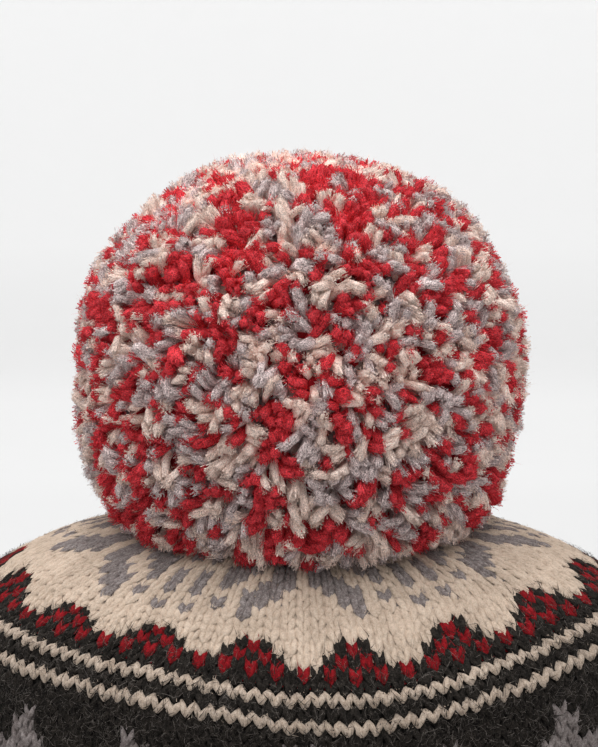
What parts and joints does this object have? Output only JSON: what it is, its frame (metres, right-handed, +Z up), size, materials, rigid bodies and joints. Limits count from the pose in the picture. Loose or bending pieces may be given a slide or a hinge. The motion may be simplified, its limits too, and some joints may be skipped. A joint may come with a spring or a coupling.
{
  "type": "knit toque",
  "caption": "Close-fitting knitted wool cap with a colourwork star crown, a folded rib band and a large cut-yarn pompom.",
  "frame": {"origin": "on the surface the cap stands on, under the middle of its rim", "axes": "+Z up through the crown and the pompom, X along the wide way of the head, front towards -Y"},
  "size_m": [0.1978, 0.1636, 0.2677],
  "materials": {
    "cream_wool": "stranded wool knit, matt and lightly fuzzy",
    "charcoal_wool": "heather wool knit, matt with pale stray fibres",
    "red_wool": "cut wool yarn, matt and soft",
    "grey_wool": "heather wool yarn, matt and soft"
  },
  "bodies": {
    "root": {"crown": "cream_wool", "ribbed_band": "charcoal_wool", "pompom": "red_wool", "pompom_tie": "charcoal_wool"}
  },
  "joints": []
}
